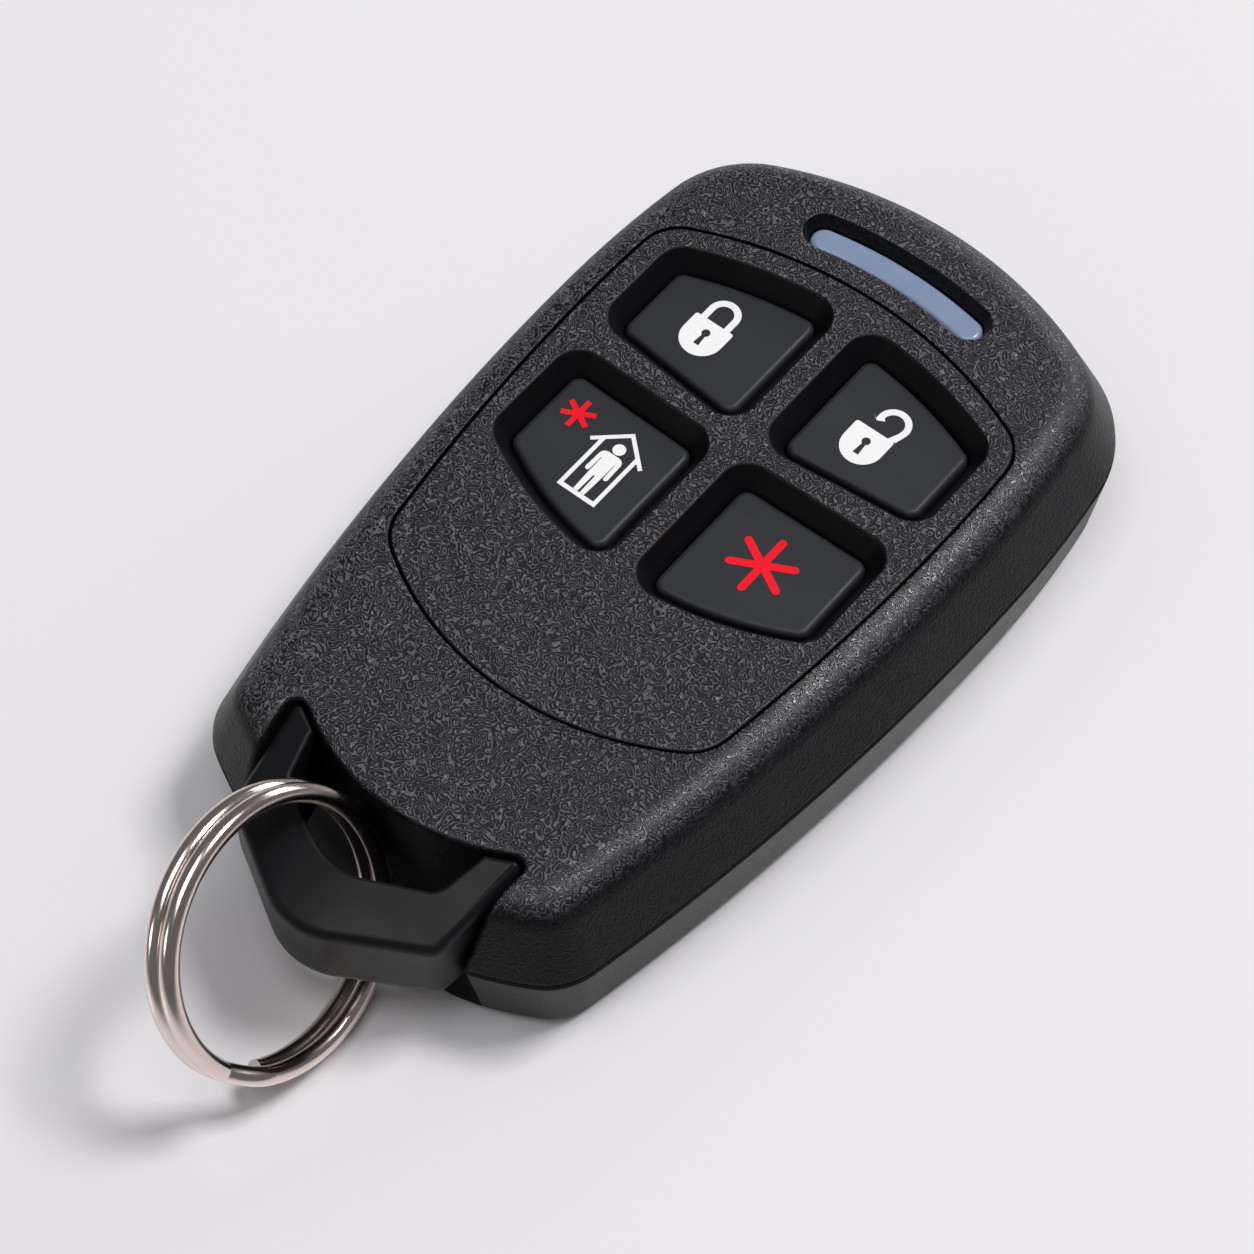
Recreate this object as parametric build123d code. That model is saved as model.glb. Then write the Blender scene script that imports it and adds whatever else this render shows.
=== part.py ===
from build123d import *
import os
from math import atan2, cos, degrees, hypot, pi, radians, sin, tan

# An alarm key fob: two shells parted all round, an inset key panel with four wells,
# four rubber keys, a light window, a smooth loop at the foot and a split ring.
# Millimetres and degrees. The origin is on the flat back, in the middle of the length.
# +X is to the right, +Y towards the light window, +Z out of the key face.

# The case seen from the front, at the parting line
case_length = 63.3
case_half_width = 19.0
case_widest_y = 11.7
case_lower_side_radius = 173.0
case_upper_side_radius = 72.5
case_top_corner_radius = 9.1
case_top_radius = 30.5
case_foot_corner_radius = 4.6
case_foot_radius = 25.8

# The case seen from the side
front_draft_angle = 24.2
front_edge_radius = 2.9
rear_draft_angle = 8.5
rear_edge_radius = 1.6
seam_chamfer = 0.25
wall = 1.7
floor_thickness = 1.2

# What is stacked inside, from the floor up, which gives the case its thickness
cell_clearance = 0.1
cell_thickness = 3.2
clip_room = 0.45
board_thickness = 1.0
pad_thickness = 0.05
contact_gap = 0.05
key_travel = 0.8
pill_thickness = 0.5
stem_length = 1.7
flange_thickness = 0.5
flange_clearance = 0.05
panel_plate = 1.1
well_depth = 1.7
seam_above_board = 0.95

# The key panel, inset in the front shell
panel_side_margin = 4.18
panel_top_margin = 10.2
panel_foot_margin = 15.55
panel_lower_side_radius = 150.0
panel_upper_side_radius = 72.0
panel_top_corner_radius = 3.2
panel_top_radius = 30.5
panel_foot_corner_radius = 3.5
panel_foot_radius = 21.5
panel_gap = 0.16
panel_edge_radius = 0.15
panel_ledge_width = 0.9
panel_ledge_thickness = 0.8

# The four wells in the panel and the keys in them
well_rib_width = 1.64
well_side_margin = 1.82
well_top_radius = 31.5
well_foot_radius = 25.0
well_corner_radius = 2.0
well_lead_in = 1.05
well_rim_radius = 0.2
key_gap = 0.15
key_drop = 1.2
key_edge_radius = 0.4
flange_overlap = 0.45
stem_diameter = 3.6
pill_diameter = 3.4
pad_diameter = 4.4
# Down the panel's middle line, from its top edge, in shares of the panel's length: the top
# of the upper wells, their lower edge, the top edge of the lower wells, and their foot
well_row_shares = (0.0487, 0.3622, 0.3947, 0.7124)
# The same for the two edges between the rows, at the wells' outer side
well_outer_shares = (0.3302, 0.3875)

# The silicone sheet under the keys
sheet_margin = 1.3
sheet_thickness = 0.65
skirt_thickness = 0.6
dome_diameter = 6.2
dome_wall = 0.5
dome_clearance = 0.3
dome_height = 1.4

# The light window and the light pipe in it
window_top_margin = 7.25
window_arc_radius = 30.0
window_half_length = 7.35
window_width = 2.95
window_depth = 0.85
window_lead_in = 0.42
window_wall = 0.9
lens_gap = 0.08
lens_crown_radius = 0.4
lens_flange = 0.5
lens_flange_thickness = 0.8
pipe_stem_half_length = 3.0
led_clearance = 0.2

# The notch at the foot of the case and the loop in it
notch_depth = 5.2
notch_arc_radius = 16.3
notch_half_width = 9.45
notch_foot_half_width = 8.4
notch_wall = 2.0
notch_corner_radius = 0.7
notch_rim_radius = 0.4
loop_gap = 0.25
loop_reach = 4.35
loop_bar_width = 4.45
loop_flank_angle = 29.5
loop_nose_radius = 5.2
loop_corner_radius = 1.2
loop_inner_draft_angle = 14.0
loop_shoulder_half_width = 5.95
loop_shoulder_radius = 1.6
loop_inner_angle = 26.6
loop_inner_nose_radius = 4.6
loop_slope_drop = 2.0
loop_slope_run = 7.2
loop_thickness = 8.0
loop_crease_radius = 0.8
loop_underside_radius = 1.3
loop_rim_radius = 0.25
peg_diameter = 1.8
peg_length = 1.0
peg_clearance = 0.1

# The scoop in the rear shell under the loop, round the line that the split ring swings about
swing_beyond_foot = 1.55
swing_height = 8.1
scoop_margin = 0.4
scoop_lip = 0.5

# The split ring, two flat turns of round wire joined by a short step
ring_mean_radius = 8.65
ring_wire = 1.25
ring_turn_gap = 0.03
ring_step_angle = 26.0
ring_step_place = 305.0
ring_notch_gap = 0.05
ring_off_middle = -0.98
ring_floor_gap = 0.03
ring_lean_angle = 26.2
ring_turn_angle = 5.7

# The coin cell and what holds and feeds it
cell_diameter = 20.0
cell_cap_margin = 1.4
cell_cap_thickness = 0.25
cell_edge_chamfer = 0.3
cell_y = -6.6
cradle_gap = 0.2
cradle_wall = 0.9
cradle_height = 2.2
cradle_slot = 6.0
clip_gap = 0.02
clip_sheet = 0.2
clip_width = 4.0
clip_foot = 2.5
leaf_flat = 3.0
leaf_slope = 1.6

# The circuit board and what is on it
board_margin = 2.4
board_corner_radius = 2.0
board_to_post = 0.5
board_post_diameter = 2.0
board_post_x = 11.6
board_post_foot_y = -14.6
board_post_top_y = 20.5
chip_height = 0.9
controller_side = 5.0
controller_x = -5.5
radio_side = 4.0
radio_x = 5.5
chip_y = 11.5
chip_chamfer = 0.6
crystal_length = 5.0
crystal_width = 3.2
crystal_height = 1.2
crystal_y = 15.0
passive_length = 1.6
passive_width = 0.8
passive_height = 0.7
passive_gap = 1.6
passive_count = 5
capacitor_y = 18.4
resistor_y = 21.0
led_length = 3.2
led_width = 1.6
led_height = 0.9
antenna_margin = 3.2
antenna_width = 0.9
antenna_thickness = 0.3
antenna_end_y = 6.0

# The screw and the seal that close the case
screw_y = -20.1
screw_head_diameter = 3.4
screw_head_height = 1.1
screw_head_recess = 0.3
screw_shank_diameter = 1.7
screw_clearance = 0.15
screw_pilot_clearance = 0.03
screw_bite = 2.4
screw_drive_width = 0.6
screw_drive_length = 2.2
screw_drive_depth = 0.55
post_diameter = 4.4
post_gap = 0.05
seal_margin = 0.6
seal_width = 0.55
seal_height = 0.6
seal_clearance = 0.03

# Heights that follow from the stack
cell_z = floor_thickness + cell_clearance
board_z = cell_z + cell_thickness + clip_room
board_top = board_z + board_thickness
parting_z = board_top + seam_above_board
pill_z = board_top + pad_thickness + contact_gap + key_travel
stem_z = pill_z + pill_thickness
flange_z = stem_z + stem_length
cap_z = flange_z + flange_thickness
panel_z = cap_z + flange_clearance
ledge_z = panel_z - panel_ledge_thickness
well_floor_z = panel_z + panel_plate
case_top = well_floor_z + well_depth
pipe_z = board_top + led_height + led_clearance

# Places that follow from the case's outline
case_top_y = case_length / 2
case_foot_y = -case_length / 2
panel_top_y = case_top_y - panel_top_margin
panel_foot_y = case_foot_y + panel_foot_margin
window_y = case_top_y - window_top_margin
notch_y = case_foot_y + notch_depth
notch_centre_y = notch_y + notch_arc_radius
notch_corner_y = notch_centre_y - (notch_arc_radius**2 - notch_half_width**2) ** 0.5
foot_sagitta = case_foot_radius - (case_foot_radius**2 - notch_half_width**2) ** 0.5
cavity_foot_y = notch_corner_y + notch_wall - foot_sagitta
peg_y = (notch_corner_y + case_foot_y) / 2
swing_y = case_foot_y - swing_beyond_foot
scoop_radius = swing_height + scoop_margin
scoop_lip_y = swing_y + (scoop_radius**2 - (swing_height - scoop_lip)**2) ** 0.5
board_foot_y = screw_y + post_diameter / 2 + board_to_post
# A length beyond every edge, and a short overlap for cuts and joins
reach = 2 * case_length
bite = floor_thickness / 4


# Outlines made of arcs

def polar(centre, radius, angle):
    return (centre[0] + radius * cos(angle), centre[1] + radius * sin(angle))


def heading(start, end):
    return atan2(end[1] - start[1], end[0] - start[0])


def arc(centre, radius, start, end):
    points = [polar(centre, radius, angle) for angle in (start, (start + end) / 2, end)]
    return ThreePointArc(*points)


def corner_centre(side, side_radius, end, end_radius, radius, way):
    """Centre of an arc inside two larger circles that touches both, at the top or the foot."""
    side_reach = side_radius - radius
    end_reach = end_radius - radius
    apart = hypot(end[0] - side[0], end[1] - side[1])
    along = (side_reach**2 - end_reach**2 + apart**2) / (2 * apart)
    across = (side_reach**2 - along**2) ** 0.5
    turn = heading(side, end)
    foot = polar(side, along, turn)
    both = [polar(foot, across, turn + quarter) for quarter in (pi / 2, -pi / 2)]
    return max(both, key=lambda point: way * point[1])


def barrel_face(outline, inset=0.0):
    """A barrel-shaped face of tangent arcs, drawn in by inset all round."""
    (half_width, lower_radius, upper_radius, top_corner, top_radius, top_y,
     foot_corner, foot_radius, foot_y) = outline
    lower = (half_width - lower_radius, case_widest_y)
    upper = (half_width - upper_radius, case_widest_y)
    top = (0, top_y - top_radius)
    foot = (0, foot_y + foot_radius)
    high = corner_centre(upper, upper_radius, top, top_radius, top_corner, 1)
    low = corner_centre(lower, lower_radius, foot, foot_radius, foot_corner, -1)
    low_turn = heading(foot, low)
    side_turn = heading(lower, low)
    high_turn = heading(upper, high)
    top_turn = heading(top, high)
    right = [
        arc(low, foot_corner - inset, low_turn, side_turn),
        arc(lower, lower_radius - inset, side_turn, 0),
        arc(upper, upper_radius - inset, 0, high_turn),
        arc(high, top_corner - inset, high_turn, top_turn),
    ]
    left = [mirror(edge, about=Plane.YZ) for edge in right]
    crown = arc(top, top_radius - inset, top_turn, pi - top_turn)
    base = arc(foot, foot_radius - inset, -pi - low_turn, low_turn)
    return make_face(Curve() + right + left + [crown, base])


def case_like(foot_y, foot_radius, foot_corner_radius):
    """The case's outline with another foot."""
    return (case_half_width, case_lower_side_radius, case_upper_side_radius,
            case_top_corner_radius, case_top_radius, case_top_y,
            foot_corner_radius, foot_radius, foot_y)


case_outline = case_like(case_foot_y, case_foot_radius, case_foot_corner_radius)
cavity_outline = case_like(cavity_foot_y - wall, case_foot_radius, case_foot_corner_radius)
board_outline = case_like(board_foot_y - board_margin, case_lower_side_radius,
                          board_corner_radius + board_margin)
panel_outline = (case_half_width - panel_side_margin, panel_lower_side_radius,
                 panel_upper_side_radius, panel_top_corner_radius, panel_top_radius, panel_top_y,
                 panel_foot_corner_radius, panel_foot_radius, panel_foot_y)


# Simple solids

def slab(face, low, high):
    return extrude(Plane.XY.offset(low) * face, amount=high - low)


def leaning(face, start, end, angle):
    """A solid on face at the height start that narrows at an angle towards the height end."""
    return extrude(Plane.XY.offset(start) * face, amount=end - start, taper=angle)


def round_bar(x, y, low, high, diameter):
    return Pos(x, y, low) * Cylinder(diameter / 2, high - low,
                                     align=(Align.CENTER, Align.CENTER, Align.MIN))


def brick(x, y, low, length, width, height):
    return Pos(x, y, low) * Box(length, width, height,
                                align=(Align.CENTER, Align.CENTER, Align.MIN))


def strip(profile, y, width):
    """A bent strip whose side view in X and Z is given, centred on y."""
    face = make_face(Polyline(*profile, close=True))
    return extrude(Plane.XZ.offset(-y) * face, amount=width / 2, both=True)


# The notch at the foot and the loop's pegs

def notch_wedge(gap=0.0):
    """Face between the notch's two sides, drawn in by gap."""
    slope = (notch_half_width - notch_foot_half_width) / (notch_corner_y - case_foot_y)
    high_y = notch_corner_y + notch_depth / 2
    low_half = notch_foot_half_width - gap
    high_half = low_half + slope * (high_y - case_foot_y)
    return make_face(Polyline((-high_half, high_y), (-low_half, case_foot_y),
                              (-low_half, -reach), (low_half, -reach),
                              (low_half, case_foot_y), (high_half, high_y), close=True))


def notch_face(gap=0.0):
    """Face of the notch at the foot of the case, made smaller by gap all round."""
    face = notch_wedge(gap) - Pos(0, notch_centre_y) * Circle(notch_arc_radius + gap)
    corners = [vertex for vertex in face.vertices() if vertex.Y > peg_y]
    return fillet(corners, notch_corner_radius - gap)


def upright_faces(body):
    return [face for face in body.faces() if abs(face.normal_at(face.center()).Z) < 1 / reach]


def cut_front_notch(body):
    """The shell with its notch cut, rounded where the notch meets the outside."""
    body -= slab(notch_face(), parting_z - bite, case_top + bite)
    rim = edges_of(upright_faces(body), parting_z + seam_chamfer / 2, reach)
    return fillet(rim, notch_rim_radius)


def rear_notch():
    """Room for the loop, with a scoop below it that the split ring can swing in."""
    scoop = Pos(0, swing_y, swing_height) * Rot(0, 90, 0) * Cylinder(scoop_radius, reach)
    mouth = Pos(0, scoop_lip_y) * Box(reach, reach, reach, align=(Align.CENTER, Align.MAX))
    room = slab(notch_face(), case_top - loop_thickness - loop_gap, parting_z + bite)
    return room + (slab(notch_face(), -bite, parting_z) & (scoop + mouth))


def cut_rear_notch(body):
    """The shell with its notch cut, rounded at the two upright outer corners."""
    body -= rear_notch()
    edges = edges_of(upright_faces(body), -bite, parting_z - seam_chamfer / 2)
    corners = [edge for edge in edges if edge.bounding_box().size.Z > parting_z / 2]
    return fillet(corners, notch_rim_radius)


def peg_pair(clearance):
    """The loop's two side pegs, or the sockets for them with a clearance."""
    inner = notch_foot_half_width - 2 * loop_gap - clearance
    length = notch_half_width + peg_length + clearance - inner
    peg = Cylinder(peg_diameter / 2 + clearance, length,
                   align=(Align.CENTER, Align.CENTER, Align.MIN))
    right = Pos(inner, peg_y, parting_z) * Rot(0, 90, 0) * peg
    return right + mirror(right, about=Plane.YZ)


# The two shells

def screw_hole(low, high, clearance):
    return round_bar(0, screw_y, low, high, screw_shank_diameter + 2 * clearance)


def front_housing():
    body = leaning(barrel_face(case_outline), parting_z, case_top, front_draft_angle)
    body = fillet(body.edges().group_by(Axis.Z)[-1], front_edge_radius)
    body = chamfer(body.edges().group_by(Axis.Z)[0], seam_chamfer)
    body = cut_front_notch(body)
    body -= leaning(barrel_face(cavity_outline, wall), parting_z, ledge_z, front_draft_angle)
    body -= slab(barrel_face(panel_outline, panel_ledge_width), ledge_z - bite, panel_z + bite)
    body -= slab(barrel_face(panel_outline), panel_z, case_top + bite)
    body = cut_window(body)
    body += round_bar(0, screw_y, parting_z + post_gap, ledge_z + bite, post_diameter)
    body -= peg_pair(peg_clearance)
    return body - screw_hole(parting_z, ledge_z + screw_bite, screw_pilot_clearance)


def seal_ring(clearance):
    ring = barrel_face(cavity_outline, seal_margin + clearance)
    ring -= barrel_face(cavity_outline, seal_margin + seal_width - clearance)
    return slab(ring, parting_z - seal_height + clearance, parting_z)


def rear_housing():
    body = leaning(barrel_face(case_outline), parting_z, 0, rear_draft_angle)
    body = fillet(body.edges().group_by(Axis.Z)[0], rear_edge_radius)
    body = chamfer(body.edges().group_by(Axis.Z)[-1], seam_chamfer)
    body = cut_rear_notch(body)
    body -= leaning(barrel_face(cavity_outline, wall), parting_z, floor_thickness,
                    rear_draft_angle)
    body += cell_cradle()
    for x in (-board_post_x, board_post_x):
        for y in (board_post_foot_y, board_post_top_y):
            body += round_bar(x, y, floor_thickness - bite, board_z, board_post_diameter)
    body += round_bar(0, screw_y, floor_thickness - bite, parting_z, post_diameter)
    body -= seal_ring(0.0)
    body -= peg_pair(peg_clearance)
    head = screw_head_diameter + 2 * screw_clearance
    body -= round_bar(0, screw_y, -bite, screw_head_recess + screw_head_height, head)
    return body - screw_hole(0, parting_z + bite, screw_clearance)


def cell_cradle():
    """A low ring round the coin cell, open at both sides for a finger and the clip."""
    inner = cell_diameter / 2 + cradle_gap
    ring = Circle(inner + cradle_wall) - Circle(inner) - Rectangle(3 * inner, cradle_slot)
    return slab(Pos(0, cell_y) * ring, floor_thickness - bite, floor_thickness + cradle_height)


def housing_screw():
    head_top = screw_head_recess + screw_head_height
    body = round_bar(0, screw_y, screw_head_recess, head_top, screw_head_diameter)
    body += round_bar(0, screw_y, head_top - bite, ledge_z + screw_bite / 2, screw_shank_diameter)
    for length, width in ((screw_drive_length, screw_drive_width),
                          (screw_drive_width, screw_drive_length)):
        body -= brick(0, screw_y, screw_head_recess - bite, length, width,
                      screw_drive_depth + bite)
    return body


# The light window and the light pipe

def window_face(inset=0.0):
    """The window's banana shape, drawn in by inset all round."""
    width = window_width - 2 * inset
    half_turn = (window_half_length - window_width / 2) / window_arc_radius
    centre = (0, window_y - window_arc_radius)
    spine = arc(centre, window_arc_radius, pi / 2 - half_turn, pi / 2 + half_turn)
    return SlotArc(arc=spine, height=width)


def cut_window(body):
    lean = degrees(atan2(window_lead_in, window_depth))
    channel_z = case_top - window_depth
    pocket_z = channel_z - window_wall
    body -= leaning(window_face(), case_top, channel_z, lean)
    body -= slab(window_face(window_lead_in), ledge_z - bite, channel_z + bite / 2)
    return body - slab(window_face(window_lead_in - lens_flange), ledge_z - bite, pocket_z)


def light_pipe():
    lens_z = case_top - window_depth
    flange_top = lens_z - window_wall - lens_gap
    inset = window_lead_in + lens_gap
    body = slab(window_face(inset), flange_top - lens_flange_thickness, lens_z)
    body = fillet(body.edges().group_by(Axis.Z)[-1], lens_crown_radius)
    body += slab(window_face(inset - lens_flange), flange_top - lens_flange_thickness, flange_top)
    width = window_width - 2 * inset
    stem_top = flange_top - lens_flange_thickness + bite
    return body + brick(0, window_y, pipe_z, 2 * pipe_stem_half_length, width - 2 * lens_gap,
                        stem_top - pipe_z)


# The key panel, the keys and the sheet

def panel_y(share):
    return panel_top_y - share * (panel_top_y - panel_foot_y)


def well_face(side, lower_row):
    """Rim of a well in the upper or the lower row, on the left (-1) or the right (1)."""
    near = side * well_rib_width / 2
    far = side * (case_half_width - panel_side_margin - well_side_margin)
    crown, upper_foot, lower_top, base = [panel_y(share) for share in well_row_shares]
    upper_far, lower_far = [panel_y(share) for share in well_outer_shares]
    steps = (near, (near + far) / 2, far)
    if lower_row:
        bow = [(x, base + bulge(well_foot_radius, x)) for x in steps]
        inner, outer = (near, lower_top), (far, lower_far)
    else:
        bow = [(x, crown - bulge(well_top_radius, x)) for x in steps]
        inner, outer = (near, upper_foot), (far, upper_far)
    sides = Polyline(bow[2], outer, inner, bow[0])
    face = make_face(Curve() + [ThreePointArc(*bow), sides])
    return fillet(face.vertices(), well_corner_radius)


def bulge(radius, x):
    """How far an arc has dropped from its crown at the distance x from its middle."""
    return radius - (radius**2 - x**2) ** 0.5


def key_rims():
    """The rim of each key's well, by the key's name."""
    return {
        "lock": well_face(-1, False),
        "unlock": well_face(1, False),
        "stay": well_face(-1, True),
        "panic": well_face(1, True),
    }


def key_spot(rim):
    middle = rim.center()
    return middle.X, middle.Y


def keypad_panel(rims):
    body = slab(barrel_face(panel_outline, panel_gap), panel_z, case_top)
    body = fillet(body.edges().group_by(Axis.Z)[-1], panel_edge_radius)
    lean = degrees(atan2(well_lead_in, well_depth))
    for rim in rims.values():
        body -= leaning(rim, case_top, well_floor_z, lean)
        body -= slab(offset(rim, -well_lead_in), panel_z - bite, well_floor_z + bite / 2)
    rims_at_top = body.faces().sort_by(Axis.Z)[-1].inner_wires().edges()
    return fillet(rims_at_top, well_rim_radius)


def key_cap(rim):
    face = offset(rim, -(well_lead_in + key_gap))
    cap = slab(face, cap_z - bite, case_top - key_drop)
    cap = fillet(cap.edges().group_by(Axis.Z)[-1], key_edge_radius)
    cap += slab(offset(face, flange_overlap), flange_z, cap_z)
    return cap + round_bar(*key_spot(rim), stem_z, flange_z + bite, stem_diameter)


def contact_pill(rim):
    return round_bar(*key_spot(rim), pill_z, stem_z, pill_diameter)


def key_contacts(rims):
    return [round_bar(*key_spot(rim), board_top, board_top + pad_thickness, pad_diameter)
            for rim in rims.values()]


def dome(rim, low, extra):
    """The hollow under one key, or its outside when extra is the wall's thickness."""
    top_diameter = stem_diameter + 2 * dome_clearance
    return Pos(*key_spot(rim), low) * Cone(
        dome_diameter / 2 + extra, top_diameter / 2 + extra, dome_height,
        align=(Align.CENTER, Align.CENTER, Align.MIN))


def keypad_sheet(rims):
    """Silicone sheet on the board, with a skirt round it and an open dome round each stem."""
    low = board_top + sheet_thickness
    body = slab(barrel_face(panel_outline, sheet_margin), board_top, low)
    skirt = barrel_face(panel_outline, sheet_margin)
    skirt -= barrel_face(panel_outline, sheet_margin + skirt_thickness)
    body += slab(skirt, board_top, panel_z - flange_clearance)
    for rim in rims.values():
        body += dome(rim, low, dome_wall)
        body -= dome(rim, low, 0.0)
        body -= round_bar(*key_spot(rim), board_top - bite, low, dome_diameter)
    return body


# The loop at the foot

def flank_face():
    """Face above two flanks that meet in a round nose at the loop's end."""
    apex_y = case_foot_y - loop_reach
    side_y = apex_y + reach * tan(radians(loop_flank_angle))
    face = make_face(Polyline((0, apex_y), (reach, side_y), (reach, reach), (-reach, reach),
                              (-reach, side_y), close=True))
    return fillet(face.vertices().sort_by(Axis.Y)[0], loop_nose_radius)


def loop_hole_face():
    """Face of the space between the loop's arms, open towards the notch."""
    apex_y = case_foot_y - loop_reach + loop_bar_width
    shoulder_y = apex_y + loop_shoulder_half_width * tan(radians(loop_inner_angle))
    mouth_y = notch_centre_y
    mouth_half = loop_shoulder_half_width
    mouth_half += (mouth_y - shoulder_y) * tan(radians(loop_inner_draft_angle))
    face = make_face(Polyline((0, apex_y), (loop_shoulder_half_width, shoulder_y),
                              (mouth_half, mouth_y), (-mouth_half, mouth_y),
                              (-loop_shoulder_half_width, shoulder_y), close=True))
    face = fillet(face.vertices().sort_by(Axis.Y)[0], loop_inner_nose_radius)
    shoulders = [vertex for vertex in face.vertices()
                 if abs(abs(vertex.X) - loop_shoulder_half_width) < bite]
    return fillet(shoulders, loop_shoulder_radius)


def loop_walls(body, way):
    """The loop's upright faces, either the outer ones (-1) or those of its hole (1)."""
    widest = (loop_shoulder_half_width + notch_half_width) / 2
    walls = []
    for face in upright_faces(body):
        middle, out = face.center(), face.normal_at(face.center())
        if way * out.Y > 0 and (way < 0 or abs(middle.X) < widest):
            walls.append(face)
    return walls


def edges_of(faces, low, high):
    """Edges of the faces that lie wholly between two heights, each once."""
    found = {}
    for edge in [edge for face in faces for edge in face.edges()]:
        span = edge.bounding_box()
        if low < span.min.Z and span.max.Z < high:
            middle = edge.center()
            found[round(middle.X, 3), round(middle.Y, 3), round(middle.Z, 3)] = edge
    return list(found.values())


def keyring_loop():
    crease_z = case_top - loop_slope_drop
    bottom_z = case_top - loop_thickness
    flanks = flank_face()
    plan = notch_wedge(loop_gap) & flanks
    corners = [vertex for vertex in plan.vertices()
               if vertex.Y < peg_y and abs(vertex.X) > loop_shoulder_half_width]
    plan = fillet(corners, loop_corner_radius)
    slope = extrude(Plane.XY.offset(crease_z) * flanks, dir=(0, loop_slope_run, loop_slope_drop),
                    amount=2 * hypot(loop_slope_run, loop_slope_drop))
    body = slab(plan, bottom_z, case_top + loop_slope_drop)
    body &= slab(flanks, bottom_z, crease_z) + slope
    body = fillet(edges_of(loop_walls(body, -1), crease_z - clip_gap, reach), loop_crease_radius)
    body = fillet(edges_of(loop_walls(body, -1), 0, bottom_z + clip_gap), loop_underside_radius)
    body &= slab(notch_face(loop_gap) - loop_hole_face(), bottom_z - bite, case_top + bite)
    rim = edges_of(loop_walls(body, 1), crease_z, reach)
    return fillet(rim, loop_rim_radius) + peg_pair(0.0)


# The split ring

def split_ring():
    half_rise = (ring_wire + ring_turn_gap) / 2
    start = ring_step_angle / 2
    turn = 360 - ring_step_angle
    low = CenterArc((0, 0, -half_rise), ring_mean_radius, start, turn)
    high = CenterArc((0, 0, half_rise), ring_mean_radius, start, turn)
    step = Spline(low @ 1, high @ 0, tangents=[low % 1, high % 0])
    body = sweep(Plane(origin=low @ 1, z_dir=low % 1) * Circle(ring_wire / 2), path=step)
    section = Plane.XZ * Pos(ring_mean_radius, 0) * Circle(ring_wire / 2)
    flat_turn = Rot(0, 0, start) * revolve(section, axis=Axis.Z, revolution_arc=turn)
    body += [Pos(0, 0, -half_rise) * flat_turn, Pos(0, 0, half_rise) * flat_turn]
    body = Rot(0, 0, ring_step_place) * body
    body = Rot(0, 0, ring_turn_angle) * Rot(0, 90 - ring_lean_angle, 0) * body
    span = body.bounding_box()
    return Pos(ring_off_middle, notch_y - ring_notch_gap - span.max.Y,
               ring_floor_gap - span.min.Z) * body


# The coin cell and its contacts

def coin_cell():
    can_top = cell_z + cell_thickness - cell_cap_thickness
    can = round_bar(0, cell_y, cell_z, can_top, cell_diameter)
    can = chamfer(can.edges().filter_by(GeomType.CIRCLE), cell_edge_chamfer)
    return can + round_bar(0, cell_y, can_top - bite, cell_z + cell_thickness,
                           cell_diameter - 2 * cell_cap_margin)


def battery_clip():
    """Strip under the board that reaches down beside the cell's can."""
    inner = cell_diameter / 2 + clip_gap
    outer = inner + clip_sheet
    low = cell_z + clip_room
    foot_z = board_z - clip_sheet
    profile = [(inner, low), (outer, low), (outer, foot_z), (outer + clip_foot, foot_z),
               (outer + clip_foot, board_z), (inner, board_z)]
    return strip(profile, cell_y, clip_width)


def battery_contact():
    """Sprung leaf under the board that presses on the middle of the cell."""
    touch_z = cell_z + cell_thickness + clip_gap
    bends = (leaf_flat / 2, leaf_flat / 2 + leaf_slope, leaf_flat / 2 + leaf_slope + clip_foot)
    under = [(bends[0], touch_z), (bends[1], board_z - clip_sheet),
             (bends[2], board_z - clip_sheet)]
    over = [(x, z + clip_sheet) for x, z in reversed(under)]
    left = [(-x, z) for x, z in reversed(under + over)]
    return strip(under + over + left, cell_y, clip_width)


# The circuit board and what is on it

def circuit_board():
    return slab(barrel_face(board_outline, board_margin), board_z, board_top)


def chip(x, y, side):
    body = brick(x, y, board_z - chip_height, side, side, chip_height)
    corner = body.edges().filter_by(Axis.Z).sort_by(Axis.X)[0]
    return chamfer(corner, chip_chamfer)


def crystal():
    body = brick(0, crystal_y, board_z - crystal_height, crystal_length, crystal_width,
                 crystal_height)
    return fillet(body.edges().filter_by(Axis.Z), crystal_width / 4)


def passive_row(y):
    middle = (passive_count - 1) / 2
    pitch = passive_width + passive_gap
    return [brick((place - middle) * pitch, y, board_z - passive_height, passive_width,
                  passive_length, passive_height) for place in range(passive_count)]


def indicator_led():
    base = brick(0, window_y, board_top, led_length, led_width, led_height / 2)
    lens = brick(0, window_y, board_top + led_height / 2, led_length * 2 / 3, led_width,
                 led_height / 2)
    return base + lens


def loop_antenna():
    track = barrel_face(case_outline, antenna_margin)
    track -= barrel_face(case_outline, antenna_margin + antenna_width)
    track &= Pos(0, antenna_end_y) * Rectangle(reach, reach, align=(Align.CENTER, Align.MIN))
    return slab(track, board_top, board_top + antenna_thickness)


def save(name, shapes):
    shapes = shapes if isinstance(shapes, list) else [shapes]
    solids = [solid for shape in shapes for solid in shape.solids()]
    export_step(solids[0] if len(solids) == 1 else Compound(solids), "parts/" + name + ".step")


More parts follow.
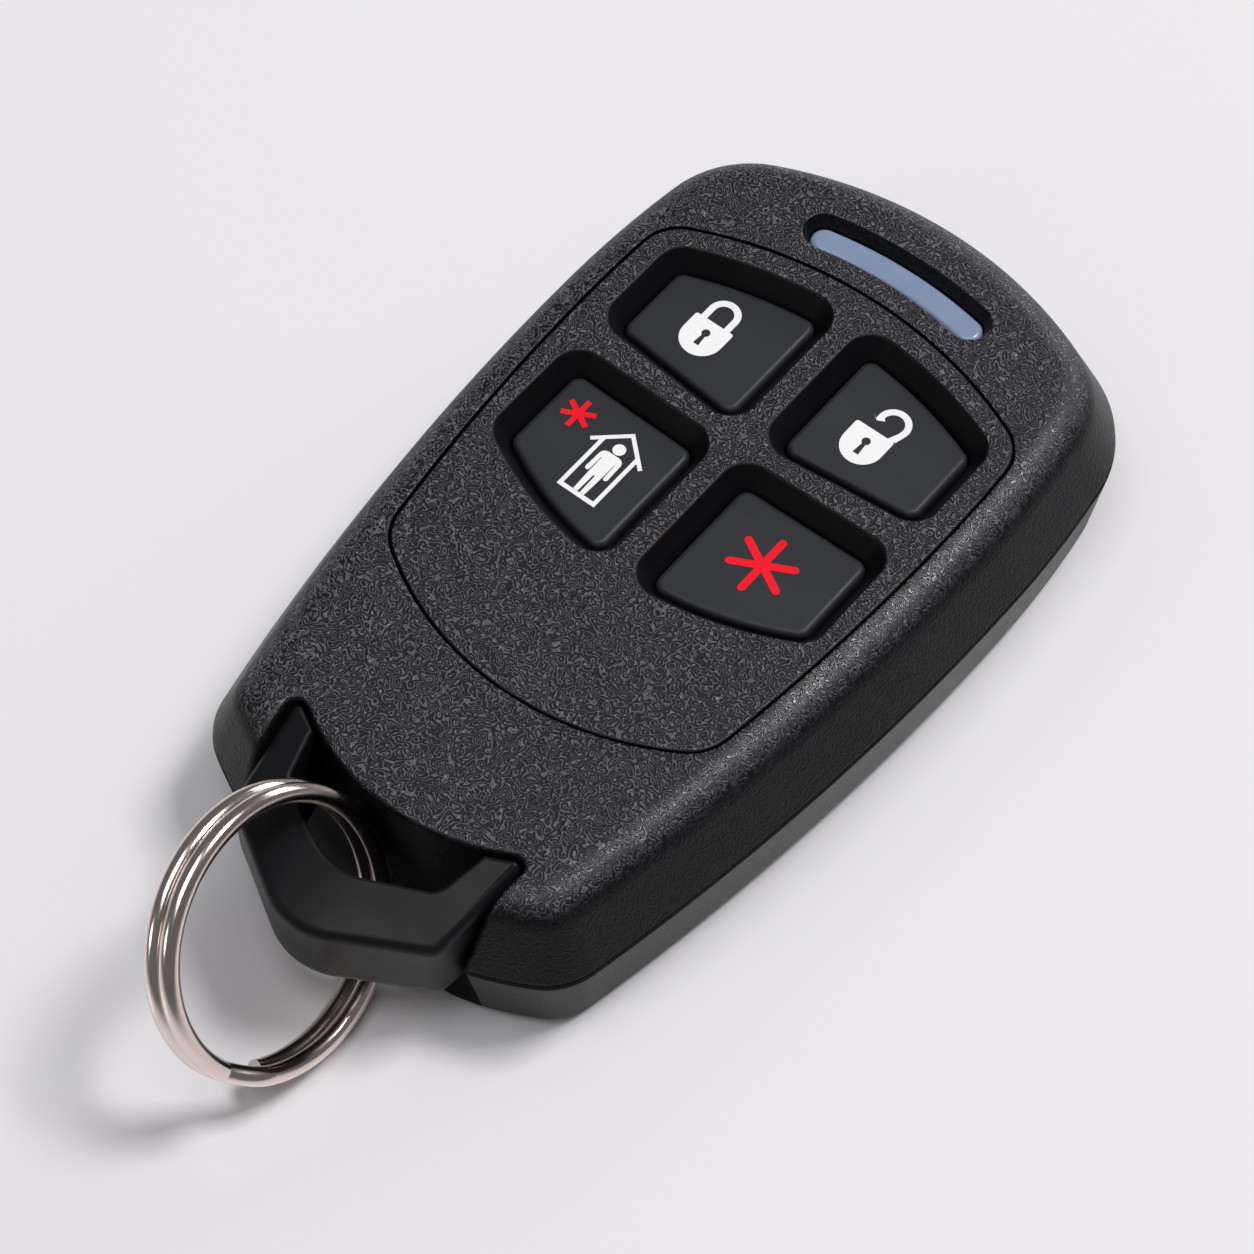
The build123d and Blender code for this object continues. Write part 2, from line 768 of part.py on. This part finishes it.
def main():
    os.makedirs("parts", exist_ok=True)
    rims = key_rims()
    save("front_housing", front_housing())
    save("rear_housing", rear_housing())
    save("case_seal", seal_ring(seal_clearance))
    save("housing_screw", housing_screw())
    save("light_pipe", light_pipe())
    save("keypad_panel", keypad_panel(rims))
    save("keypad_sheet", keypad_sheet(rims))
    save("key_contacts", key_contacts(rims))
    for name, rim in rims.items():
        save("key_" + name, key_cap(rim))
        save("contact_pill_" + name, contact_pill(rim))
    save("keyring_loop", keyring_loop())
    save("split_ring", split_ring())
    save("coin_cell", coin_cell())
    save("battery_clip", battery_clip())
    save("battery_contact", battery_contact())
    save("circuit_board", circuit_board())
    save("controller_chip", chip(controller_x, chip_y, controller_side))
    save("radio_chip", chip(radio_x, chip_y, radio_side))
    save("crystal", crystal())
    save("capacitors", passive_row(capacitor_y))
    save("resistors", passive_row(resistor_y))
    save("indicator_led", indicator_led())
    save("loop_antenna", loop_antenna())


main()
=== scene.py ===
import bpy
from math import cos, pi, radians, sin, tan
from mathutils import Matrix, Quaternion, Vector


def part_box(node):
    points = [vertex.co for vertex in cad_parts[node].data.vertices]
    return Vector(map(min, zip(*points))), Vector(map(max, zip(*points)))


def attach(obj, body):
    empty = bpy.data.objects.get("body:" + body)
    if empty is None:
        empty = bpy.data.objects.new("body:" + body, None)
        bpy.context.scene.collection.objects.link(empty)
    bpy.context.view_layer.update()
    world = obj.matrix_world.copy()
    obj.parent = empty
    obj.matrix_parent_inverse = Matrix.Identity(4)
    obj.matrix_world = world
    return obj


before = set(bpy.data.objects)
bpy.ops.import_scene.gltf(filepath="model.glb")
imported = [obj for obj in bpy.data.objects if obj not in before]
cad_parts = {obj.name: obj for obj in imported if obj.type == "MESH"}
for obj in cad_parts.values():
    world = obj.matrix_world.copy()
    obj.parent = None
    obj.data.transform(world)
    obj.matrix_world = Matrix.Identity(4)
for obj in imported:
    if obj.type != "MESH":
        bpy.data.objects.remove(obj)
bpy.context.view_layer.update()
scene = bpy.context.scene
MM = 0.001
# The second plastic tone is a painted highlight on the grain's ridges, not a colour of the
# plastic; the black is the plastic's own colour.
BLACK_PLASTIC, RIDGE_HIGHLIGHT_PLASTIC = (10, 10, 13), (86, 85, 94)
GOLD_DARK, GOLD_LIGHT = (196, 150, 70), (228, 184, 98)
STEEL_DARK, STEEL_LIGHT = (176, 176, 176), (206, 206, 206)
RESIN_DARK, RESIN_LIGHT = (34, 34, 35), (42, 42, 43)
WHITE_INK, RED_INK = (250, 250, 251), (250, 18, 40)
INK_THICKNESS = 0.024 * MM
INK_LIFT = 0.008 * MM
FLOOR_GAP = 0.02 * MM
LAMP_TARGET = (0, -0.002, 0.006)

# Camera at the photograph's angle

camera = bpy.data.objects.new("camera", bpy.data.cameras.new("camera"))
scene.collection.objects.link(camera)
camera.location = (0.0831491, -0.1011203, 0.2089907)
camera.rotation_mode = "QUATERNION"
camera.rotation_quaternion = Quaternion((0.9059638, 0.2571594, 0.0987089, 0.3214892))
camera.data.sensor_width = 36
camera.data.lens = 108.988
camera.data.clip_start = 0.01
camera.data.clip_end = 20
scene.camera = camera


# Material helpers

class Paint:
    """A node material with one Principled shader and a few short ways to add to it."""

    def __init__(self, name, color, roughness, metallic=0.0, specular=0.5):
        self.material = bpy.data.materials.new(name)
        self.material.use_nodes = True
        self.nodes = self.material.node_tree.nodes
        self.shader = self.nodes["Principled BSDF"]
        self.shader.inputs["Base Color"].default_value = (*linear(color), 1)
        self.shader.inputs["Roughness"].default_value = roughness
        self.shader.inputs["Metallic"].default_value = metallic
        self.shader.inputs["Specular IOR Level"].default_value = specular
        self.place = self.add("ShaderNodeTexCoord")

    def add(self, kind, **values):
        """Adds a node. Names that are properties are set, and the rest are inputs."""
        node = self.nodes.new(kind)
        for name, value in values.items():
            if hasattr(node, name):
                setattr(node, name, value)
        for name, value in values.items():
            if not hasattr(node, name):
                self.put(node, name.replace("_", " "), value)
        return node

    def put(self, node, name, value):
        """Links or sets an input, by its name or as i0, i1 and so on by its place."""
        numbered = name[0] == "i" and name[1:].isdigit()
        socket = node.inputs[int(name[1:]) if numbered else name]
        if isinstance(value, bpy.types.NodeSocket):
            self.material.node_tree.links.new(value, socket)
        else:
            socket.default_value = value

    def set(self, name, value):
        self.put(self.shader, name, value)

    def noise(self, size, detail=3.0, roughness=0.5, distortion=0.0, where=None):
        """Noise whose lumps are about size millimetres across."""
        where = where or self.place.outputs["Object"]
        node = self.add("ShaderNodeTexNoise", Vector=where, Scale=1 / (size * MM),
                        Detail=detail, Roughness=roughness, Distortion=distortion)
        return node.outputs["Fac"]

    def math(self, operation, first, second=0.0):
        node = self.add("ShaderNodeMath", operation=operation, i0=first, i1=second)
        return node.outputs[0]

    def ramp(self, value, low, high, start=0.0, end=1.0):
        """Value from low to high, smoothly turned into start to end."""
        node = self.add("ShaderNodeMapRange", interpolation_type="SMOOTHSTEP", Value=value)
        limits = {"From Min": low, "From Max": high, "To Min": start, "To Max": end}
        for name, number in limits.items():
            node.inputs[name].default_value = number
        return node.outputs["Result"]

    def mix(self, share, first, second):
        """A colour between first and second, in sRGB 0 to 255."""
        node = self.add("ShaderNodeMix", data_type="RGBA")
        self.put(node, "i0", share)
        node.inputs[6].default_value = (*linear(first), 1)
        node.inputs[7].default_value = (*linear(second), 1)
        return node.outputs[2]

    def bump(self, height, depth, before=None):
        """Relief of that depth in millimetres."""
        node = self.add("ShaderNodeBump", Height=height, Strength=1.0, Distance=depth * MM)
        if before is not None:
            self.put(node, "Normal", before)
        return node.outputs["Normal"]


def linear(color):
    """sRGB 0 to 255 as linear 0 to 1."""
    shares = [part / 255 for part in color]
    return [share / 12.92 if share <= 0.04045 else ((share + 0.055) / 1.055) ** 2.4
            for share in shares]


# Materials

def facing_up(paint, low, high):
    """One where the surface faces out of the key face, none on walls."""
    axes = paint.add("ShaderNodeSeparateXYZ", Vector=paint.place.outputs["Normal"])
    return paint.ramp(axes.outputs["Z"], low, high)


def leather_grain(paint):
    """Height of a moulded grain of short worm-like ridges, the level lines of a slow noise."""
    slow = paint.noise(size=0.66, detail=1.0, roughness=0.4)
    ridges_per_unit = 46.0
    waves = paint.math("SINE", paint.math("MULTIPLY", slow, ridges_per_unit))
    ridges = paint.ramp(waves, low=-0.7, high=0.95)
    patches = paint.noise(size=0.4, detail=1.0, roughness=0.4)
    breaks = paint.ramp(patches, low=0.36, high=0.5, start=0.5)
    return paint.math("MULTIPLY", ridges, breaks)


def shell_paint(name, dark, light, roughness, smooth_low, smooth_high, wall_share):
    """Black ABS. Grain is full where it faces up and falls to wall_share on the walls. Its ridges
    are painted lighter as a painted highlight and its grooves darker as painted shade, so the
    walls, with less grain, are painted darker.
    """
    paint = Paint(name, dark, roughness)
    up = facing_up(paint, smooth_low, smooth_high)
    wall_gloss, top_gloss = 0.2, 0.56
    paint.set("Specular IOR Level", paint.ramp(up, 0.0, 1.0, wall_gloss, top_gloss))
    share = paint.ramp(up, 0.0, 1.0, wall_share, 1.0)
    ridge = paint.math("MULTIPLY", leather_grain(paint), share)

    fine = paint.noise(size=0.09, roughness=0.6)
    height = paint.math("ADD", ridge, paint.math("MULTIPLY", fine, 0.06))
    rounded = paint.add("ShaderNodeBevel", Radius=0.2 * MM, samples=6)
    paint.set("Normal", paint.bump(height, depth=0.12, before=rounded.outputs["Normal"]))

    rubbed = paint.math("MULTIPLY", paint.noise(size=9.0, detail=4.0, roughness=0.6), 0.2)
    # Painted highlight on the grain's ridges and painted shade in its grooves, plus a random slow
    # tone drift, sets the base colour from dark to light.
    ridge_highlight_and_drift = paint.math("ADD", paint.math("MULTIPLY", ridge, 0.85), rubbed)
    paint.set("Base Color", paint.mix(paint.ramp(ridge_highlight_and_drift, 0.15, 0.95), dark, light))
    paint.set("Roughness", paint.ramp(ridge_highlight_and_drift, 0.2, 1.1, roughness + 0.12, roughness))
    return paint.material


def satin_paint(name, dark, light, roughness, lump, relief, specular=0.45):
    """Smooth moulded plastic or rubber. Its tone drifts over lumps of that size in millimetres."""
    paint = Paint(name, dark, roughness, specular=specular)
    drift = paint.noise(size=lump, detail=4.0, roughness=0.55)
    skin = paint.noise(size=0.12, roughness=0.6)
    paint.set("Base Color", paint.mix(drift, dark, light))
    paint.set("Roughness", paint.ramp(drift, 0.3, 0.7, roughness + 0.05, roughness - 0.05))
    paint.set("Normal", paint.bump(skin, relief))
    return paint.material


def metal_paint(name, dark, light, roughness):
    """Plated or drawn metal with fine lines along it."""
    paint = Paint(name, light, roughness, metallic=1.0)
    drift = paint.noise(size=2.5, detail=5.0, roughness=0.6)
    stretch = paint.add("ShaderNodeMapping", Vector=paint.place.outputs["Object"])
    stretch.inputs["Scale"].default_value = (1, 1, 8)
    lines = paint.noise(size=0.05, detail=2.0, where=stretch.outputs["Vector"])
    both = paint.math("ADD", lines, drift)
    paint.set("Base Color", paint.mix(drift, dark, light))
    paint.set("Roughness", paint.ramp(both, 0.6, 1.4, roughness, roughness * 2))
    paint.set("Normal", paint.bump(lines, depth=0.0015))
    return paint.material


def light_guide_paint():
    """Cloudy pale blue plastic that light passes through."""
    paint = Paint("light_guide", (132, 150, 182), 0.34)
    cloud = paint.noise(size=3.0)
    paint.set("Base Color", paint.mix(cloud, (118, 137, 170), (152, 168, 196)))
    paint.set("Subsurface Weight", 0.35)
    paint.set("Subsurface Radius", (0.5, 0.6, 1.0))
    paint.set("Subsurface Scale", 1.2 * MM)
    paint.set("Coat Weight", 0.25)
    paint.set("Coat Roughness", 0.12)
    paint.set("Normal", paint.bump(paint.noise(size=0.1, detail=2.0), depth=0.002))
    return paint.material


def print_paint(name, color):
    """Screen print on rubber, with a slightly uneven film."""
    paint = Paint(name, color, 0.6, specular=0.15)
    film = paint.noise(size=0.25, detail=4.0, roughness=0.65)
    worn = tuple(part * 0.93 for part in color)
    paint.set("Base Color", paint.mix(film, worn, color))
    paint.set("Normal", paint.bump(film, depth=0.004))
    return paint.material


def board_paint():
    """Green solder mask over copper tracks and a glass weave."""
    paint = Paint("solder_mask", (14, 84, 44), 0.28)
    weave = paint.add("ShaderNodeTexWave", Vector=paint.place.outputs["Object"],
                      Scale=1 / (1.4 * MM), Distortion=0.4)
    veins = paint.noise(size=1.6, detail=1.0, roughness=0.3, distortion=2.0)
    tracks = paint.ramp(veins, low=0.49, high=0.52)
    paint.set("Base Color", paint.mix(tracks, (10, 66, 34), (22, 104, 56)))
    paint.set("Normal", paint.bump(weave.outputs["Fac"], depth=0.004))
    return paint.material


def shell_paints():
    return {
        "front_housing": shell_paint("front_shell_abs", BLACK_PLASTIC, RIDGE_HIGHLIGHT_PLASTIC, 0.27,
                                     smooth_low=0.55, smooth_high=0.95, wall_share=0.16),
        "rear_housing": shell_paint("rear_shell_abs", (18, 18, 20), (26, 26, 29), 0.34,
                                    smooth_low=1.5, smooth_high=2.0, wall_share=0.1),
        "keypad_panel": shell_paint("panel_abs", BLACK_PLASTIC, RIDGE_HIGHLIGHT_PLASTIC, 0.27,
                                    smooth_low=0.93, smooth_high=0.99, wall_share=0.0),
    }


def satin_paints():
    return {
        "keyring_loop": satin_paint("loop_abs", (15, 15, 18), (20, 20, 23), 0.42,
                                    lump=6.0, relief=0.003, specular=0.2),
        "keypad_sheet": satin_paint("sheet_rubber", (44, 47, 52), (52, 55, 60), 0.6,
                                    lump=5.0, relief=0.004),
        "case_seal": satin_paint("seal_rubber", (40, 40, 41), (50, 50, 51), 0.62,
                                 lump=4.0, relief=0.004),
        "controller_chip": satin_paint("controller_resin", RESIN_DARK, RESIN_LIGHT, 0.6,
                                       lump=1.0, relief=0.006),
        "radio_chip": satin_paint("radio_resin", RESIN_DARK, RESIN_LIGHT, 0.6,
                                  lump=1.0, relief=0.006),
        "capacitors": satin_paint("capacitor_ceramic", (150, 112, 74), (168, 130, 90), 0.5,
                                  lump=0.8, relief=0.005),
        "resistors": satin_paint("resistor_ceramic", (44, 44, 46), (58, 58, 60), 0.5,
                                 lump=0.8, relief=0.005),
        "indicator_led": satin_paint("led_lens", (206, 212, 220), (226, 230, 235), 0.3,
                                     lump=1.0, relief=0.002),
    }


def metal_paints():
    return {
        "split_ring": metal_paint("nickel", (226, 208, 200), (246, 232, 226), 0.1),
        "housing_screw": metal_paint("zinc_screw", (120, 120, 122), (160, 160, 161), 0.3),
        "coin_cell": metal_paint("cell_steel", (190, 190, 190), (214, 214, 214), 0.22),
        "key_contacts": metal_paint("gold_pads", GOLD_DARK, GOLD_LIGHT, 0.25),
        "loop_antenna": metal_paint("gold_track", GOLD_DARK, GOLD_LIGHT, 0.25),
        "battery_clip": metal_paint("spring_strip", STEEL_DARK, STEEL_LIGHT, 0.25),
        "battery_contact": metal_paint("spring_leaf", STEEL_DARK, STEEL_LIGHT, 0.25),
        "crystal": metal_paint("crystal_lid", (180, 176, 166), (206, 202, 192), 0.3),
    }


def finish_nodes():
    """Gives every CAD node its material. The keys share one, and so do the carbon pills."""
    paints = {**shell_paints(), **satin_paints(), **metal_paints(),
              "light_pipe": light_guide_paint(), "circuit_board": board_paint()}
    rubber = satin_paint("key_rubber", (34, 35, 41), (39, 40, 46), 0.5,
                         lump=5.0, relief=0.004, specular=0.36)
    carbon = satin_paint("carbon", (26, 26, 27), (36, 36, 37), 0.7, lump=0.8, relief=0.006)
    for name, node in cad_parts.items():
        if name.startswith("contact_pill"):
            chosen = carbon
        else:
            chosen = paints.get(name, rubber)
        node.data.materials.clear()
        node.data.materials.append(chosen)


# Printed signs on the keys, in millimetres

def arc_points(x, y, radius, start, end, count=24):
    """Points on an arc between two angles in degrees."""
    turns = [radians(start + (end - start) * step / count) for step in range(count + 1)]
    return [(x + radius * cos(turn), y + radius * sin(turn)) for turn in turns]


def star(x, y, radius, width, angles, round_end):
    """Outline of bars that cross in the middle, one end at each angle."""
    outline = []
    for place, angle in enumerate(angles):
        turn = radians(angle)
        after = radians(angles[(place + 1) % len(angles)])
        along, aside = (cos(turn), sin(turn)), (-sin(turn), cos(turn))
        if round_end:
            tip = radius - width / 2
            outline += arc_points(x + tip * along[0], y + tip * along[1], width / 2, angle - 90,
                                  angle + 90, 10)
        else:
            outline += [(x + radius * along[0] + side * width / 2 * aside[0],
                         y + radius * along[1] + side * width / 2 * aside[1]) for side in (-1, 1)]
        middle = (turn + after + (2 * pi if after < turn else 0)) / 2
        reach = width / 2 / sin(middle - turn)
        outline.append((x + reach * cos(middle), y + reach * sin(middle)))
    return outline


def padlock_body(x, top, bottom, half):
    """Outline of a padlock's body: a round foot and a flat top with cut corners."""
    low = bottom + half
    cut = 0.12
    return ([(x - half + cut, top), (x - half, top - cut)]
            + arc_points(x, low, half, 180, 360)
            + [(x + half, top - cut), (x + half - cut, top)])


def keyhole(x, y, bottom, radius):
    """Outline of a round hole with a skirt down to bottom."""
    skirt = radius * 0.72
    return arc_points(x, y, radius, -62, 242) + [(x - skirt, bottom), (x + skirt, bottom)]


def house(x, peak, foot, half, wall, width):
    """Outlines of a gabled house: the roof, and the walls with the floor."""
    slope = radians(41.6)
    overhang = 0.62
    drop = width / cos(slope)
    roof_x, roof_y = half + overhang, peak - (half + overhang) * tan(slope)
    tuck_x, tuck_y = width * sin(slope), width * cos(slope)
    roof = [(x, peak), (x + roof_x, roof_y), (x + roof_x - tuck_x, roof_y - tuck_y),
            (x, peak - drop), (x - roof_x + tuck_x, roof_y - tuck_y), (x - roof_x, roof_y)]
    eaves = peak - drop - half * tan(slope)
    inner = peak - drop - (half - wall) * tan(slope)
    sill = foot + wall * 1.1
    walls = [(x - half, eaves), (x - half, foot), (x + half, foot), (x + half, eaves),
             (x + half - wall, inner), (x + half - wall, sill),
             (x - half + wall, sill), (x - half + wall, inner)]
    return [roof, walls]


def person(x, head_y, foot):
    """Outlines of a plain standing figure: the head, and the body with arms and legs."""
    head_radius = 0.44
    arm = [(0.46, -0.51), (0.66, -0.58), (0.80, -0.72), (0.86, -0.92), (0.90, -2.22),
           (0.86, -2.38), (0.70, -2.43), (0.60, -2.36), (0.57, -2.22), (0.55, -1.12)]
    leg = [(0.51, -1.12), (0.49, -2.5), (0.43, foot - head_y), (0.09, foot - head_y),
           (0.06, -2.5)]
    right = [(x + dx, head_y + dy) for dx, dy in arm + leg]
    left = [(x - dx, head_y + dy) for dx, dy in reversed(arm + leg)]
    return [arc_points(x, head_y, head_radius, 0, 345, 23), right + left]


def closed_shackle(x, y, outer, inner, foot):
    """Outline of a shackle with both ends in the padlock's body."""
    return (arc_points(x, y, outer, 180, 0) + [(x + outer, foot), (x + inner, foot)]
            + arc_points(x, y, inner, 0, 180) + [(x - inner, foot), (x - outer, foot)])


def open_shackle(x, y, outer, inner):
    """Outline of a shackle swung out, with one end in the padlock's body."""
    fixed_end = [(7.66, 14.75), (7.42, 13.94), (6.86, 13.94), (7.2, 14.7)]
    free_end = [(5.93, 14.9), (5.46, 14.64), (5.0, 14.98)]
    return (arc_points(x, y, outer, 196, 0) + fixed_end
            + arc_points(x, y, inner, 0, 176) + free_end)


def printed(name, body, key, outlines, paint):
    """A thin printed film on top of a key, from closed outlines in millimetres."""
    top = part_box(key)[1][2]
    curve = bpy.data.curves.new(name, "CURVE")
    curve.dimensions = "2D"
    curve.fill_mode = "BOTH"
    curve.extrude = INK_THICKNESS / 2
    for outline in outlines:
        spline = curve.splines.new("POLY")
        spline.points.add(len(outline) - 1)
        spline.use_cyclic_u = True
        for point, (x, y) in zip(spline.points, outline):
            point.co = (x * MM, y * MM, 0, 1)
    form = bpy.data.objects.new(name + "_form", curve)
    scene.collection.objects.link(form)
    graph = bpy.context.evaluated_depsgraph_get()
    mesh = bpy.data.meshes.new_from_object(form.evaluated_get(graph))
    bpy.data.objects.remove(form)
    for vertex in mesh.vertices:
        vertex.co.z += top + INK_LIFT
    mesh.materials.clear()
    mesh.materials.append(paint)
    piece = bpy.data.objects.new(name, mesh)
    scene.collection.objects.link(piece)
    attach(piece, body)


def print_signs():
    """The four keys' signs: two padlocks, a star, and a small star beside a house."""
    white = print_paint("white_ink", WHITE_INK)
    red = print_paint("red_ink", RED_INK)

    lock_x, lock_top = -7.29, 14.18
    shackle = closed_shackle(lock_x, 15.04, outer=1.17, inner=0.695, foot=lock_top)
    body = padlock_body(lock_x, lock_top, bottom=11.29, half=1.52)
    hole = keyhole(lock_x, 13.21, bottom=12.12, radius=0.3)
    printed("sign_locked", "key_lock_body", "key_lock", [shackle, body, hole], white)

    open_x, open_top = 5.92, 13.94
    shackle = open_shackle(6.5, 15.03, outer=1.2, inner=0.74)
    body = padlock_body(open_x, open_top, bottom=11.05, half=1.48)
    hole = keyhole(open_x, 12.93, bottom=11.78, radius=0.3)
    printed("sign_unlocked", "key_unlock_body", "key_unlock", [shackle, body, hole], white)

    angles = (28, 90, 152, 208, 270, 332)
    large = star(6.58, 1.46, radius=2.34, width=0.53, angles=angles, round_end=True)
    small = star(-9.66, 3.18, radius=1.16, width=0.38, angles=angles, round_end=False)
    printed("sign_panic", "key_panic_body", "key_panic", [large], red)
    printed("sign_stay_star", "key_stay_body", "key_stay", [small], red)

    home_x = -5.84
    home = house(home_x, peak=4.21, foot=-1.76, half=1.51, wall=0.29, width=0.29)
    figure = person(home_x, head_y=2.63, foot=-1.42)
    printed("sign_stay_house", "key_stay_body", "key_stay", home + figure, white)


# The floor, the lamps and the world

def make_floor():
    bpy.ops.mesh.primitive_plane_add(size=6, location=(0, 0, -FLOOR_GAP))
    floor = bpy.context.object
    floor.name = "floor"
    paint = Paint("pale_floor", (236, 234, 237), 0.16)
    drift = paint.noise(size=60, detail=2.0, roughness=0.4)
    paint.set("Roughness", paint.ramp(drift, 0.3, 0.7, 0.12, 0.18))
    floor.data.materials.append(paint.material)


def lamp(name, place, size, energy):
    """A soft rectangular lamp in watts that points at the fob."""
    light = bpy.data.lights.new(name, "AREA")
    light.shape = "RECTANGLE"
    light.size, light.size_y = size
    light.energy = energy
    item = bpy.data.objects.new(name, light)
    item.location = place
    aim = Vector(LAMP_TARGET) - Vector(place)
    item.rotation_euler = aim.to_track_quat("-Z", "Y").to_euler()
    scene.collection.objects.link(item)


def make_world():
    world = bpy.data.worlds.new("studio")
    world.use_nodes = True
    scene.world = world
    back = world.node_tree.nodes["Background"]
    back.inputs["Color"].default_value = (0.93, 0.93, 0.95, 1)
    back.inputs["Strength"].default_value = 0.14


finish_nodes()
print_signs()
make_floor()
lamp("key_light", (0.34, 0.52, 1.10), size=(0.38, 0.34), energy=9.9)
lamp("top_light", (0.0, -0.30, 1.25), size=(0.7, 0.7), energy=4.9)
lamp("back_light", (0.05, 1.10, 0.38), size=(0.8, 0.25), energy=3.2)
lamp("nose_light", (-0.42, -0.95, 0.48), size=(0.3, 0.2), energy=0.9)
make_world()
scene.view_settings.view_transform = "Standard"
